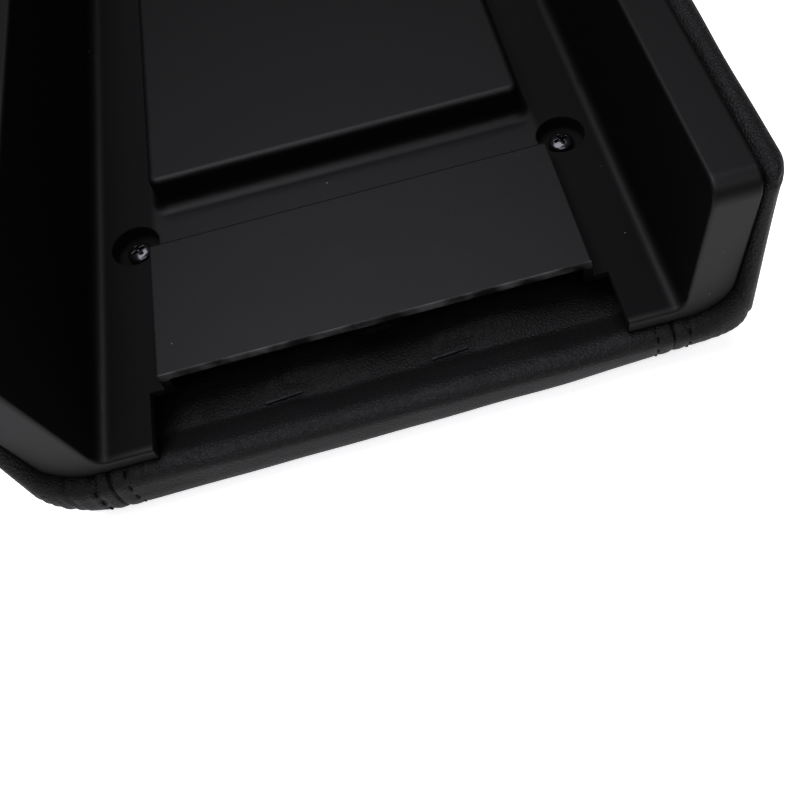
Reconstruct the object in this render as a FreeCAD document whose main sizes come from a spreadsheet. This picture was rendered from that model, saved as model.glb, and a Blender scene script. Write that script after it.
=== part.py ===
"""Center console lid, lying upside down on its padded top.

X runs across the lid, the hinge end is at -Y, the latch end at +Y, and +Z is the
underside of the lid in use. Z is 0 where the padded top lies on the bench.
"""
import FreeCAD, Part
import math
import os
import re

import Sketcher

SIZES = {
    # whole lid
    "overall_length": 320.0,
    "overall_width": 204.8,
    "rim_height": 68.0,
    "side_lean": 2.5,
    "rear_lean": 3.1,
    # layers of the padded tub
    "leather_thickness": 1.1,
    "foam_base": 7.0,
    "foam_side": 1.2,
    "foam_height": 48.0,
    "core_base": 3.0,
    "layer_gap": 0.1,
    "cover_drop": 0.4,
    "turn_in": 8.0,
    "tuck_length": 31.0,
    "tuck_width": 144.0,
    "edge_radius": 20.0,
    "end_radius": 11.0,
    "seam_left": 79.5,
    "seam_right": 76.5,
    # liner moulding
    "liner_clearance": 0.25,
    "nose_reach": 5.0,
    "front_reach": 7.2,
    "side_reach": 7.2,
    "floor_height": 24.0,
    "floor_width": 160.0,
    "front_rail": 26.0,
    "lip_drop": 5.0,
    "wall_draft": 4.0,
    "liner_wall": 2.5,
    "liner_corner": 12.0,
    "tray_corner": 14.0,
    "floor_fillet": 3.5,
    "rail_end_radius": 5.5,
    "rim_edge_radius": 1.0,
    "notch_width": 129.4,
    "notch_depth": 18.0,
    "bridge_width": 120.2,
    "bridge_rise": 6.5,
    "bridge_end": 64.1,
    "plateau_width": 115.8,
    "plateau_rise": 10.7,
    "plateau_start": 85.0,
    "plateau_front_gap": 34.0,
    "plateau_corner": 3.0,
    "plateau_edge": 1.8,
    # screws that hold the liner to the core
    "screw_spacing": 133.8,
    "screw_setback": 72.1,
    "screw_front_gap": 17.0,
    "well_radius": 7.4,
    "well_depth": 4.6,
    "well_wall": 2.0,
    "well_seat": 2.4,
    "screw_shank": 1.95,
    "screw_length": 9.6,
    "screw_point": 2.5,
    "screw_tip": 0.5,
    "head_radius": 3.85,
    "head_height": 2.7,
    "head_rim": 1.35,
    "head_flat": 2.4,
    "head_round": 0.9,
    "hole_clearance": 0.35,
    "pilot_clearance": 0.05,
    "boss_radius": 5.0,
    # hinge screw bosses on the core
    "hinge_spacing_x": 84.0,
    "hinge_spacing_y": 20.0,
    "hinge_setback": 38.0,
    "hinge_boss_rise": 3.0,
    "hinge_boss_radius": 4.5,
    "hinge_pilot": 2.0,
    # staples through the tucked leather
    "staple_crown": 10.6,
    "staple_wire": 0.7,
    "staple_leg": 3.0,
    "staple_outer_setback": 12.6,
    "staple_outer_spacing": 48.0,
    "staple_outer_shift": 7.0,
    "staple_tilt": 4.0,
    "staple_inner_setback": 25.7,
    # push latch in the front rail
    "latch_height": 46.0,
    "button_width": 44.0,
    "button_height": 12.0,
    "button_proud": 1.6,
    "button_radius": 4.0,
    "latch_clearance": 0.5,
    "bezel_wall": 1.6,
    "bezel_flange": 3.0,
    "bezel_flange_thick": 1.4,
    "bezel_depth": 12.0,
    "window_clearance": 0.3,
    "shoulder_width": 3.0,
    "shoulder_depth": 2.5,
    "barb_width": 8.0,
    "barb_rise": 1.0,
    "barb_length": 2.0,
    "hook_width": 16.0,
    "hook_thick": 4.0,
    "hook_rise": 14.0,
    "hook_reach": 4.0,
    "hook_nose": 4.5,
    "latch_travel": 4.5,
    "slot_clearance": 0.8,
    "spring_radius": 3.4,
    "spring_wire": 0.8,
    "spring_turns": 5.0,
    "spring_pocket": 4.0,
    "spring_gap": 0.4,
    "spigot_radius": 2.2,
    "spigot_length": 2.4,
    # how far a cutting shape reaches past what it cuts
    "cut_past": 20.0,
}

SHEET_NAMES = {alias: "sizes." + alias for alias in SIZES}

doc = FreeCAD.newDocument("console_lid")
sheet = doc.addObject("Spreadsheet::Sheet", "sizes")
for row, (alias, size) in enumerate(SIZES.items(), start=1):
    sheet.set("A%d" % row, alias)
    sheet.set("B%d" % row, repr(size))
    sheet.setAlias("B%d" % row, alias)
doc.recompute()


def bind(text):
    """Writes every size name in an expression as a cell of the sheet."""
    return re.sub(r"[a-z_]+", lambda word: SHEET_NAMES.get(word.group(), word.group()), text)


def value(text):
    """The number that an expression of size names gives."""
    return float(sheet.evalExpression(bind(text)))


# Planes and levels that several pieces share, as expressions of the sizes
ROUND_BACK = "end_radius * ( tan(rear_lean) + 1 / cos(rear_lean) - 1 )"
BACK = "( - overall_length / 2 - %s )" % ROUND_BACK
REAR = "( nose_reach - overall_length / 2 )"
COVER_FRONT = "( overall_length / 2 - button_proud )"
FRONT = "( %s - front_reach )" % COVER_FRONT
LIP = "( floor_height - lip_drop )"
COVER_TOP = "( rim_height - cover_drop )"
WALL = "( side_reach - liner_clearance )"
CORE_OUT = "( leather_thickness + foam_side + 2 * layer_gap )"
CORE_IN = "( %s - leather_thickness - layer_gap )" % WALL
CORE_Z = "( leather_thickness + foam_base + 2 * layer_gap )"
CORE_FLOOR = "( %s + core_base )" % CORE_Z
FLOOR_FRONT = "( %s - front_rail )" % FRONT
BRIDGE_TOP = "( floor_height + bridge_rise )"
PLATEAU_TOP = "( floor_height + plateau_rise )"
PLATEAU_Y = "( %s + plateau_start )" % REAR
PLATEAU_END = "( %s - plateau_front_gap )" % FLOOR_FRONT
SEAT = "( floor_height - well_depth )"
WELL_FOOT = "( %s - well_seat )" % SEAT
SCREW_X = "( screw_spacing / 2 )"
SCREW_REAR = "( %s + screw_setback )" % REAR
SCREW_FRONT = "( %s - screw_front_gap )" % FLOOR_FRONT


def half_width(inset, level):
    """Half the lid's width at a level, a given inset inside its leaning side."""
    return "overall_width / 2 - %s - ( rim_height - %s ) * tan(side_lean)" % (inset, level)


def outline(body, name, role, offset, points):
    """A closed sketch of straight lines on an origin plane, each corner set by two sizes."""
    sketch = body.newObject("Sketcher::SketchObject", name)
    plane = next(f for f in body.Origin.OriginFeatures if f.Role == role)
    sketch.AttachmentSupport = (plane, [""])
    sketch.MapMode = "FlatFace"
    sketch.setExpression("AttachmentOffset.Base.z", bind(offset))
    places = [FreeCAD.Vector(value(u), value(v), 0) for u, v in points]
    count = len(points)
    for i in range(count):
        sketch.addGeometry(Part.LineSegment(places[i], places[(i + 1) % count]))
    for i in range(count):
        sketch.addConstraint(Sketcher.Constraint("Coincident", i, 2, (i + 1) % count, 1))
    for i, (u, v) in enumerate(points):
        for kind, text in (("DistanceX", u), ("DistanceY", v)):
            number = sketch.addConstraint(Sketcher.Constraint(kind, -1, 1, i, 1, value(text)))
            sketch.setExpression("Constraints[%d]" % number, bind(text))
    return sketch


def rectangle(body, name, level, x0, x1, y0, y1):
    """A rectangle at a level, seen from above."""
    return outline(body, name, "XY_Plane", level, [(x0, y0), (x1, y0), (x1, y1), (x0, y1)])


def disc(body, name, offset, x, y, radius, role="XY_Plane"):
    """A circle on an origin plane, seen from above unless another plane is named."""
    sketch = body.newObject("Sketcher::SketchObject", name)
    plane = next(f for f in body.Origin.OriginFeatures if f.Role == role)
    sketch.AttachmentSupport = (plane, [""])
    sketch.MapMode = "FlatFace"
    sketch.setExpression("AttachmentOffset.Base.z", bind(offset))
    centre = FreeCAD.Vector(value(x), value(y), 0)
    sketch.addGeometry(Part.Circle(centre, FreeCAD.Vector(0, 0, 1), value(radius)))
    for kind, text in (("DistanceX", x), ("DistanceY", y)):
        number = sketch.addConstraint(Sketcher.Constraint(kind, -1, 1, 0, 3, value(text)))
        sketch.setExpression("Constraints[%d]" % number, bind(text))
    number = sketch.addConstraint(Sketcher.Constraint("Radius", 0, value(radius)))
    sketch.setExpression("Constraints[%d]" % number, bind(radius))
    return sketch


def extrude(body, kind, name, sketch, length, reverse=False, midplane=False):
    """A Pad or a Pocket of a sketch, with its length bound to the sizes."""
    feature = body.newObject("PartDesign::" + kind, name)
    feature.Profile = sketch
    feature.setExpression("Length", bind(length))
    feature.Reversed = reverse
    feature.Midplane = midplane
    doc.recompute()
    return feature


def loft(body, kind, name, low, high):
    """A straight-sided loft, added or cut, from one sketch to another."""
    feature = body.newObject("PartDesign::" + kind, name)
    feature.Profile = low
    feature.Sections = [high]
    feature.Ruled = True
    doc.recompute()
    return feature


def fillet(body, name, radius, wanted):
    """Rounds the edges of the body's tip that the test picks."""
    base = body.Tip
    names = ["Edge%d" % n for n, edge in enumerate(base.Shape.Edges, start=1) if wanted(edge)]
    feature = body.newObject("PartDesign::Fillet", name)
    feature.Base = (base, names)
    feature.setExpression("Radius", bind(radius))
    doc.recompute()
    return feature


def new_body(label):
    body = doc.addObject("PartDesign::Body", label)
    body.Label = label
    return body


NEAR = 0.01


def lies(edge, axis, level):
    """True where the whole edge lies in the plane at that level of the axis."""
    want = value(level)
    low = getattr(edge.BoundBox, axis + "Min")
    high = getattr(edge.BoundBox, axis + "Max")
    return abs(low - want) < NEAR and abs(high - want) < NEAR


def runs_along(edge, axis):
    """True for a straight edge along the axis."""
    box = edge.BoundBox
    spans = {"X": box.XLength, "Y": box.YLength, "Z": box.ZLength}
    return spans.pop(axis) > NEAR and max(spans.values()) < NEAR


# Padded tub: every layer is the space between two leaning blocks, one set in further than
# the other, less the gate at the hinge end where the liner shows.

def lean_block(label, inset, base, top):
    """A block with leaning sides and rear, rounded along its lower edges and round its ends."""
    body = new_body(label)
    rear = "( %s + %s )" % (BACK, inset)
    front = "( %s - %s )" % (COVER_FRONT, inset)
    low, high = half_width(inset, base), half_width(inset, top)
    section = outline(body, label + "_section", "XZ_Plane", "- %s" % rear, [
        ("- ( %s )" % low, base), (low, base), (high, top), ("- ( %s )" % high, top)])
    extrude(body, "Pad", label + "_pad", section, "%s - %s" % (front, rear), reverse=True)
    wedge = outline(body, label + "_wedge", "YZ_Plane", "0", [
        ("%s + %s * tan(rear_lean)" % (rear, base), base), ("%s + %s * tan(rear_lean)" % (rear, top), top),
        ("%s - cut_past" % rear, top), ("%s - cut_past" % rear, base)])
    extrude(body, "Pocket", label + "_rear", wedge, "overall_width + cut_past", midplane=True)
    fillet(body, label + "_long_edges", "edge_radius - %s" % base,
           lambda e: runs_along(e, "Y") and lies(e, "Z", base))
    reach = value("%s + %s * tan(rear_lean)" % (rear, top)) + NEAR

    def at_end(edge):
        at_rear = edge.BoundBox.YMax < reach
        return (at_rear or lies(edge, "Y", front)) and not lies(edge, "Z", top)

    fillet(body, label + "_end_edges", "end_radius - %s" % inset, at_end)
    return body


def gate_block(label, inset, level, top):
    """The gate at the hinge end, which follows the liner's rear outline."""
    body = new_body(label)
    low, high = half_width(inset, level), half_width(inset, top)
    section = outline(body, label + "_section", "XZ_Plane", "overall_length / 2 + cut_past", [
        ("- ( %s )" % low, level), (low, level), (high, top), ("- ( %s )" % high, top)])
    extrude(body, "Pad", label + "_pad", section, "cut_past + 2 * %s + end_radius" % inset, reverse=True)
    fillet(body, label + "_corners", "liner_corner + side_reach - %s" % inset,
           lambda e: runs_along(e, "Y") and lies(e, "Z", level))
    return body


def block(name, x0, x1, y0, y1, z0, z1):
    """A plain box between two corners."""
    box = doc.addObject("Part::Box", name)
    for start, end, side, axis in ((x0, x1, "Length", "x"), (y0, y1, "Width", "y"), (z0, z1, "Height", "z")):
        box.setExpression(side, bind("%s - ( %s )" % (end, start)))
        box.setExpression("Placement.Base." + axis, bind(start))
    return box


def post(name, x, y, foot, head, radius):
    """An upright cylinder between two levels."""
    cylinder = doc.addObject("Part::Cylinder", name)
    cylinder.setExpression("Radius", bind(radius))
    cylinder.setExpression("Height", bind("%s - ( %s )" % (head, foot)))
    for axis, text in (("x", x), ("y", y), ("z", foot)):
        cylinder.setExpression("Placement.Base." + axis, bind(text))
    return cylinder


def pair(kind, name, base, tool):
    """A Cut or a Common of two solids."""
    result = doc.addObject("Part::" + kind, name)
    result.Base = base
    result.Tool = tool
    result.Label = name
    return result


def fuse(name, pieces):
    result = doc.addObject("Part::MultiFuse", name)
    result.Shapes = pieces
    result.Label = name
    return result


def tub(label, out, base, top, inside, floor, gate):
    above = "( %s + cut_past )" % top
    shell = pair("Cut", label + "_shell", lean_block(label + "_outside", out, base, top),
                 lean_block(label + "_inside", inside, floor, above))
    return pair("Cut", label, shell, gate_block(label + "_gate", inside, gate, above))


FLAP = "( %s + layer_gap )" % CORE_FLOOR
cover_outer = tub("cover_outer", "0", "0", COVER_TOP, WALL, "( %s + leather_thickness )" % FLAP, LIP)
cover_inner = tub("cover_inner", "leather_thickness", "leather_thickness",
                  "( %s - leather_thickness )" % COVER_TOP, "( %s - leather_thickness )" % WALL,
                  FLAP, "( %s - leather_thickness )" % LIP)
PAD_OUT = "( leather_thickness + layer_gap )"
foam_tub = tub("foam_tub", PAD_OUT, PAD_OUT, "foam_height", "( %s + foam_side )" % PAD_OUT,
               "( %s + foam_base )" % PAD_OUT, "( %s - 2 * leather_thickness )" % LIP)
core_tub = tub("core_tub", CORE_OUT, CORE_Z, "( %s - %s )" % (COVER_TOP, PAD_OUT), CORE_IN,
               CORE_FLOOR, "( %s - %s )" % (LIP, PAD_OUT))


# Window for the latch bezel, through the cover, the foam, the core and the liner's front wall
SLEEVE_X = "( button_width / 2 + latch_clearance + bezel_wall )"
SLEEVE_Z = "( button_height / 2 + latch_clearance + bezel_wall )"
WINDOW_X = "( %s + window_clearance )" % SLEEVE_X
WINDOW_Z = "( %s + window_clearance )" % SLEEVE_Z
window = block("latch_window", "- %s" % WINDOW_X, WINDOW_X, "%s - cut_past" % FRONT,
               "%s + cut_past" % COVER_FRONT, "latch_height - %s" % WINDOW_Z, "latch_height + %s" % WINDOW_Z)

# Leather cover: a skin round the whole tub, trimmed inside to a turned-in edge and a tucked flap
HALF_CORE = "( ( %s + %s ) / 2 )" % (CORE_OUT, CORE_IN)
MID_BASE = "( %s + core_base / 2 )" % CORE_Z
TURN_FOOT = "( %s - turn_in )" % COVER_TOP
TUCK_END = "( %s + tuck_length )" % REAR
TRIM_X = "( %s )" % half_width(HALF_CORE, MID_BASE)
skin = pair("Cut", "cover_skin", cover_outer, cover_inner)
trim_front = block("trim_front", "- %s" % TRIM_X, TRIM_X, TUCK_END, "%s - %s" % (COVER_FRONT, HALF_CORE),
                   MID_BASE, TURN_FOOT)
trims = [trim_front]
trim_sides = {"left": ("- %s" % TRIM_X, "- tuck_width / 2"), "right": ("tuck_width / 2", TRIM_X)}
for side, (x0, x1) in trim_sides.items():
    trims.append(block("trim_" + side, x0, x1, "%s + %s" % (BACK, HALF_CORE), TUCK_END,
                       MID_BASE, "%s - 2 * leather_thickness" % LIP))
for trim in trims:
    skin = pair("Cut", "cover_less_" + trim.Name, skin, trim)
skin = pair("Cut", "cover_less_window", skin, window)
FAR = "( overall_width )"
panels = {
    "cover_side_left": ("- %s" % FAR, "- seam_left"),
    "cover_top_panel": ("- seam_left", "seam_right"),
    "cover_side_right": ("seam_right", FAR),
}
covers = []
for label, (x0, x1) in panels.items():
    slab = block(label + "_slab", x0, x1, "- overall_length", "overall_length", "- cut_past", "2 * rim_height")
    covers.append(pair("Common", label, skin, slab))

# Foam pad between the cover and the core
foam_pad = pair("Cut", "foam_pad", foam_tub, window)

# Core shell: moulded carrier with screw bosses for the liner and for the hinge leaf
CORE_BOSS_TOP = "( %s - layer_gap )" % WELL_FOOT
PILOT_FOOT = "( %s - screw_length - layer_gap )" % SEAT
HINGE_TOP = "( %s + hinge_boss_rise )" % CORE_FLOOR
screw_places = [(x, y) for y in (SCREW_REAR, SCREW_FRONT) for x in ("- %s" % SCREW_X, SCREW_X)]
hinge_rows = ("( %s + hinge_setback )" % REAR, "( %s + hinge_setback + hinge_spacing_y )" % REAR)
hinge_places = [(x, y) for y in hinge_rows for x in ("- hinge_spacing_x / 2", "hinge_spacing_x / 2")]
bosses = [post("liner_boss_%d" % n, x, y, MID_BASE, CORE_BOSS_TOP, "boss_radius")
          for n, (x, y) in enumerate(screw_places, start=1)]
bosses += [post("hinge_boss_%d" % n, x, y, MID_BASE, HINGE_TOP, "hinge_boss_radius")
           for n, (x, y) in enumerate(hinge_places, start=1)]
pilots = [post("liner_pilot_%d" % n, x, y, PILOT_FOOT, "floor_height", "screw_shank + pilot_clearance")
          for n, (x, y) in enumerate(screw_places, start=1)]
pilots += [post("hinge_pilot_%d" % n, x, y, PILOT_FOOT, "floor_height", "hinge_pilot")
           for n, (x, y) in enumerate(hinge_places, start=1)]
core_drilled = pair("Cut", "core_drilled", fuse("core_with_bosses", [core_tub] + bosses),
                    fuse("core_pilots", pilots))
core_shell = pair("Cut", "core_shell", core_drilled, window)

# Liner: one thin moulding with two hollow side rails, a front rail, the bridge over the hinge
# pocket and the long plateau
liner = new_body("liner")
FLOOR_X = "( floor_width / 2 )"
UP = "( rim_height - floor_height ) * tan(wall_draft)"
low, high = half_width("side_reach", LIP), half_width("side_reach", "rim_height")
section = outline(liner, "liner_section", "XZ_Plane", "- %s" % REAR, [
    ("- ( %s )" % low, LIP), (low, LIP), (high, "rim_height"), ("- ( %s )" % high, "rim_height")])
extrude(liner, "Pad", "liner_block", section, "%s - %s" % (FRONT, REAR), reverse=True)
fillet(liner, "liner_lower_corners", "liner_corner", lambda e: runs_along(e, "Y") and lies(e, "Z", LIP))


def upright_front(edge):
    """True for the two upright corners at the liner's front."""
    return lies(edge, "Y", FRONT) and edge.BoundBox.ZLength > value("liner_corner") > edge.BoundBox.XLength


fillet(liner, "liner_front_corners", "end_radius - side_reach", upright_front)
BEHIND = "( %s - cut_past )" % REAR
tray_low = rectangle(liner, "tray_floor", "floor_height", "- %s" % FLOOR_X, FLOOR_X, BEHIND, FLOOR_FRONT)
tray_high = rectangle(liner, "tray_mouth", "rim_height", "- %s - %s" % (FLOOR_X, UP), "%s + %s" % (FLOOR_X, UP),
                      BEHIND, "%s + %s" % (FLOOR_FRONT, UP))
loft(liner, "SubtractiveLoft", "tray", tray_low, tray_high)


def raised(name, width, rise, y0, y1, draft_rear):
    """A drafted block on the tray floor."""
    spread = "%s * tan(wall_draft)" % rise
    rear_spread = spread if draft_rear else "0"
    foot = rectangle(liner, name + "_foot", "floor_height", "- %s / 2 - %s" % (width, spread),
                     "%s / 2 + %s" % (width, spread), "%s - %s" % (y0, rear_spread), "%s + %s" % (y1, spread))
    head = rectangle(liner, name + "_head", "floor_height + %s" % rise, "- %s / 2" % width, "%s / 2" % width,
                     y0, y1)
    return loft(liner, "AdditiveLoft", name, foot, head)


NOTCH_Y = "( %s + notch_depth )" % REAR
raised("bridge", "bridge_width", "bridge_rise", "( %s - liner_wall )" % NOTCH_Y, "( %s + bridge_end )" % REAR,
       False)
raised("plateau", "plateau_width", "plateau_rise", PLATEAU_Y, PLATEAU_END, True)


def climbs(edge, foot, head):
    """True for an edge that rises from one level to another."""
    box = edge.BoundBox
    return abs(box.ZMin - value(foot)) < NEAR and abs(box.ZMax - value(head)) < NEAR


fillet(liner, "tray_corners", "tray_corner",
       lambda e: climbs(e, "floor_height", "rim_height") and e.BoundBox.YMin > value(PLATEAU_END))
fillet(liner, "plateau_corners", "plateau_corner", lambda e: climbs(e, "floor_height", PLATEAU_TOP))
fillet(liner, "plateau_edges", "plateau_edge", lambda e: lies(e, "Z", PLATEAU_TOP))
plateau_reach = value("plateau_width / 2 + plateau_rise * tan(wall_draft)") + NEAR


def on_floor_edge(edge):
    """Edges round the plateau's foot and along the foot of the tray walls."""
    box = edge.BoundBox
    at_wall = max(-box.XMin, box.XMax) > value(FLOOR_X) - value("tray_corner") - NEAR
    at_plateau = box.YMin > value(PLATEAU_Y) - value("plateau_rise") and -plateau_reach < box.XMin
    return lies(edge, "Z", "floor_height") and not lies(edge, "Y", REAR) and (at_wall or at_plateau)


fillet(liner, "floor_fillets", "floor_fillet", on_floor_edge)
fillet(liner, "rail_ends", "rail_end_radius", lambda e: lies(e, "Z", "rim_height") and lies(e, "Y", REAR))
fillet(liner, "rim_edges", "rim_edge_radius", lambda e: lies(e, "Z", "rim_height"))

# Hollow underside of the liner
INNER_REAR = "( %s + liner_wall )" % REAR
INNER_FRONT = "( %s - liner_wall )" % FRONT
CEILING = "( rim_height - liner_wall )"


def wall_x(level):
    """Outer side of the tray wall inside the rail, at a level."""
    return "( %s + liner_wall + ( %s - floor_height ) * tan(wall_draft) )" % (FLOOR_X, level)


def rail_x(level):
    """Inner side of the rail's outer wall, at a level."""
    return "( %s )" % half_width("( side_reach + liner_wall )", level)


for side, sign in {"left": "-", "right": ""}.items():
    foot = rectangle(liner, "rail_foot_" + side, LIP, sign + wall_x(LIP), sign + rail_x(LIP),
                     INNER_REAR, INNER_FRONT)
    head = rectangle(liner, "rail_head_" + side, CEILING, sign + wall_x(CEILING), sign + rail_x(CEILING),
                     INNER_REAR, INNER_FRONT)
    loft(liner, "SubtractiveLoft", "rail_hollow_" + side, foot, head)
    trim = rectangle(liner, "skirt_" + side, LIP, sign + wall_x(LIP), sign + "overall_width",
                     INNER_REAR, INNER_FRONT)
    extrude(liner, "Pocket", "skirt_trim_" + side, trim, "liner_corner", reverse=True)


def front_y(level):
    """Front side of the tray's front wall, at a level."""
    return "( %s + liner_wall + ( %s - floor_height ) * tan(wall_draft) )" % (FLOOR_FRONT, level)


foot = rectangle(liner, "front_foot", LIP, "-" + rail_x(LIP), rail_x(LIP), front_y(LIP), INNER_FRONT)
head = rectangle(liner, "front_head", CEILING, "-" + rail_x(CEILING), rail_x(CEILING), front_y(CEILING),
                 INNER_FRONT)
loft(liner, "SubtractiveLoft", "front_hollow", foot, head)
under = rectangle(liner, "floor_under", LIP, "-" + wall_x(LIP), wall_x(LIP), INNER_REAR, INNER_FRONT)
extrude(liner, "Pocket", "floor_hollow", under, "lip_drop - liner_wall", reverse=True)


def hollow_under(name, width, rise, y0, y1):
    """The space under a raised block, one wall inside it."""
    top = "( floor_height + %s - liner_wall )" % rise
    spread = "( %s - %s ) * tan(wall_draft)" % (top, LIP)
    foot = rectangle(liner, name + "_under_foot", LIP, "- %s / 2 + liner_wall - %s" % (width, spread),
                     "%s / 2 - liner_wall + %s" % (width, spread), y0, y1)
    head = rectangle(liner, name + "_under_head", top, "- %s / 2 + liner_wall" % width,
                     "%s / 2 - liner_wall" % width, y0, y1)
    return loft(liner, "SubtractiveLoft", name + "_hollow", foot, head)


hollow_under("bridge", "bridge_width", "bridge_rise", INNER_REAR, "( %s + bridge_end - liner_wall )" % REAR)
hollow_under("plateau", "plateau_width", "plateau_rise", "( %s + liner_wall )" % PLATEAU_Y,
             "( %s - liner_wall )" % PLATEAU_END)
ABOVE = "( %s + cut_past )" % BRIDGE_TOP
notch = rectangle(liner, "notch_outline", ABOVE, "- notch_width / 2", "notch_width / 2", BEHIND, NOTCH_Y)
extrude(liner, "Pocket", "notch", notch, "%s - %s + cut_past" % (ABOVE, LIP))
for n, (x, y) in enumerate(screw_places, start=1):
    ring = disc(liner, "well_ring_%d" % n, WELL_FOOT, x, y, "well_radius + well_wall")
    extrude(liner, "Pad", "well_boss_%d" % n, ring, "floor_height - liner_wall / 2 - %s" % WELL_FOOT)
for n, (x, y) in enumerate(screw_places, start=1):
    well = disc(liner, "well_mouth_%d" % n, "floor_height", x, y, "well_radius")
    extrude(liner, "Pocket", "well_%d" % n, well, "well_depth")
    hole = disc(liner, "well_hole_ring_%d" % n, "floor_height", x, y, "screw_shank + hole_clearance")
    extrude(liner, "Pocket", "well_hole_%d" % n, hole, "floor_height - %s + cut_past" % WELL_FOOT)

# Push latch: the slider's button comes through the bezel, and its hook through the rim's slot
SLEEVE_END = "( %s - bezel_depth )" % COVER_FRONT
SHOULDER_FRONT = "( %s - latch_clearance )" % SLEEVE_END
SHOULDER_BACK = "( %s - shoulder_depth )" % SHOULDER_FRONT
ARM_BACK = "( %s - hook_thick )" % SHOULDER_BACK
SPRING_WALL = front_y("latch_height")
HOOK_TOP = "( rim_height + hook_rise )"


def plate(body, kind, name, x, z_low, z_high, y0, y1):
    """A plate centred across the lid, added or cut, between two distances along it."""
    sketch = outline(body, name + "_outline", "XZ_Plane", "- %s" % y0, [
        ("- %s" % x, z_low), (x, z_low), (x, z_high), ("- %s" % x, z_high)])
    return extrude(body, kind, name, sketch, "%s - %s" % (y1, y0), reverse=(kind == "Pad"))


def latch_plate(body, kind, name, x, z, y0, y1):
    """A plate centred on the button."""
    return plate(body, kind, name, x, "latch_height - %s" % z, "latch_height + %s" % z, y0, y1)


latch_plate(liner, "Pocket", "liner_window", WINDOW_X, WINDOW_Z, "( %s - liner_wall )" % INNER_FRONT,
            "( %s + liner_wall )" % FRONT)
SLOT_X = "( hook_width / 2 + slot_clearance )"
slot = rectangle(liner, "hook_slot_outline", "rim_height", "- %s" % SLOT_X, SLOT_X,
                 "%s - latch_travel - slot_clearance" % ARM_BACK, "%s + slot_clearance" % SHOULDER_BACK)
extrude(liner, "Pocket", "hook_slot", slot, "2 * liner_wall")
spigot = disc(liner, "spigot_ring", "- ( %s - liner_wall / 2 )" % SPRING_WALL, "0", "latch_height",
              "spigot_radius", role="XZ_Plane")
extrude(liner, "Pad", "spring_spigot", spigot, "liner_wall / 2 + spigot_length", reverse=True)

bezel_outside = new_body("bezel_outside")
FLANGE_BACK = "( %s + layer_gap )" % COVER_FRONT
latch_plate(bezel_outside, "Pad", "bezel_sleeve", SLEEVE_X, SLEEVE_Z, SLEEVE_END, FLANGE_BACK)
latch_plate(bezel_outside, "Pad", "bezel_rim", "( %s + bezel_flange )" % SLEEVE_X,
            "( %s + bezel_flange )" % SLEEVE_Z, FLANGE_BACK, "( %s + bezel_flange_thick )" % FLANGE_BACK)
fillet(bezel_outside, "bezel_corners", "button_radius + bezel_wall", lambda e: runs_along(e, "Y"))
BARB_FRONT = "( %s - layer_gap )" % INNER_FRONT
plate(bezel_outside, "Pad", "bezel_barbs", "( barb_width / 2 )", "latch_height - %s - barb_rise" % SLEEVE_Z,
      "latch_height + %s + barb_rise" % SLEEVE_Z, "( %s - barb_length )" % BARB_FRONT, BARB_FRONT)
bezel_mouth = new_body("bezel_mouth")
latch_plate(bezel_mouth, "Pad", "bezel_mouth_block", "( button_width / 2 + latch_clearance )",
            "( button_height / 2 + latch_clearance )", "( %s - bezel_wall )" % SLEEVE_END,
            "( overall_length / 2 + bezel_wall )")
fillet(bezel_mouth, "bezel_mouth_corners", "button_radius", lambda e: runs_along(e, "Y"))
latch_bezel = pair("Cut", "latch_bezel", bezel_outside, bezel_mouth)

latch_slider = new_body("latch_slider")
latch_plate(latch_slider, "Pad", "button", "( button_width / 2 )", "( button_height / 2 )", SHOULDER_BACK,
            "( overall_length / 2 )")
fillet(latch_slider, "button_corners", "button_radius - latch_clearance", lambda e: runs_along(e, "Y"))
fillet(latch_slider, "button_face", "rim_edge_radius", lambda e: lies(e, "Y", "overall_length / 2"))
latch_plate(latch_slider, "Pad", "shoulder", "( button_width / 2 + shoulder_width )",
            "( button_height / 2 + shoulder_width / 2 )", SHOULDER_BACK, SHOULDER_FRONT)
plate(latch_slider, "Pad", "hook_arm", "( hook_width / 2 )", "latch_height - button_height / 2", HOOK_TOP,
      ARM_BACK, SHOULDER_BACK)
plate(latch_slider, "Pad", "hook_nose_block", "( hook_width / 2 )", "%s - hook_nose" % HOOK_TOP, HOOK_TOP,
      SHOULDER_BACK, "( %s + hook_reach )" % SHOULDER_BACK)
HOOK_FRONT = "( %s + hook_reach )" % SHOULDER_BACK
fillet(latch_slider, "hook_ramp", "hook_reach - rim_edge_radius",
       lambda e: runs_along(e, "X") and lies(e, "Z", HOOK_TOP) and lies(e, "Y", HOOK_FRONT))
pocket = disc(latch_slider, "spring_pocket_ring", "- %s" % ARM_BACK, "0", "latch_height",
              "spring_radius + spring_wire / 2 + latch_clearance", role="XZ_Plane")
extrude(latch_slider, "Pocket", "spring_pocket_bore", pocket, "spring_pocket")

# Return spring between the rail's wall and the slider
WIRE_SIDES = 8
coil_start = value(SPRING_WALL) + value("spring_gap + spring_wire / 2")
coil_end = value(ARM_BACK) + value("spring_pocket - spring_gap - spring_wire / 2")
coil_length = coil_end - coil_start
coil = Part.makeHelix(coil_length / value("spring_turns"), coil_length, value("spring_radius"))
wire_corners = [FreeCAD.Vector(value("spring_radius") + value("spring_wire / 2") * math.cos(turn), 0,
                               value("spring_wire / 2") * math.sin(turn))
                for turn in (2 * math.pi * n / WIRE_SIDES for n in range(WIRE_SIDES))]
wire_end = Part.makePolygon(wire_corners + wire_corners[:1])
latch_spring = doc.addObject("Part::Feature", "latch_spring")
latch_spring.Label = "latch_spring"
latch_spring.Shape = Part.Wire(coil.Edges).makePipeShell([wire_end], True, True)
latch_spring.Placement = FreeCAD.Placement(FreeCAD.Vector(0, coil_start, value("latch_height")),
                                           FreeCAD.Rotation(FreeCAD.Vector(1, 0, 0), -90))

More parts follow.
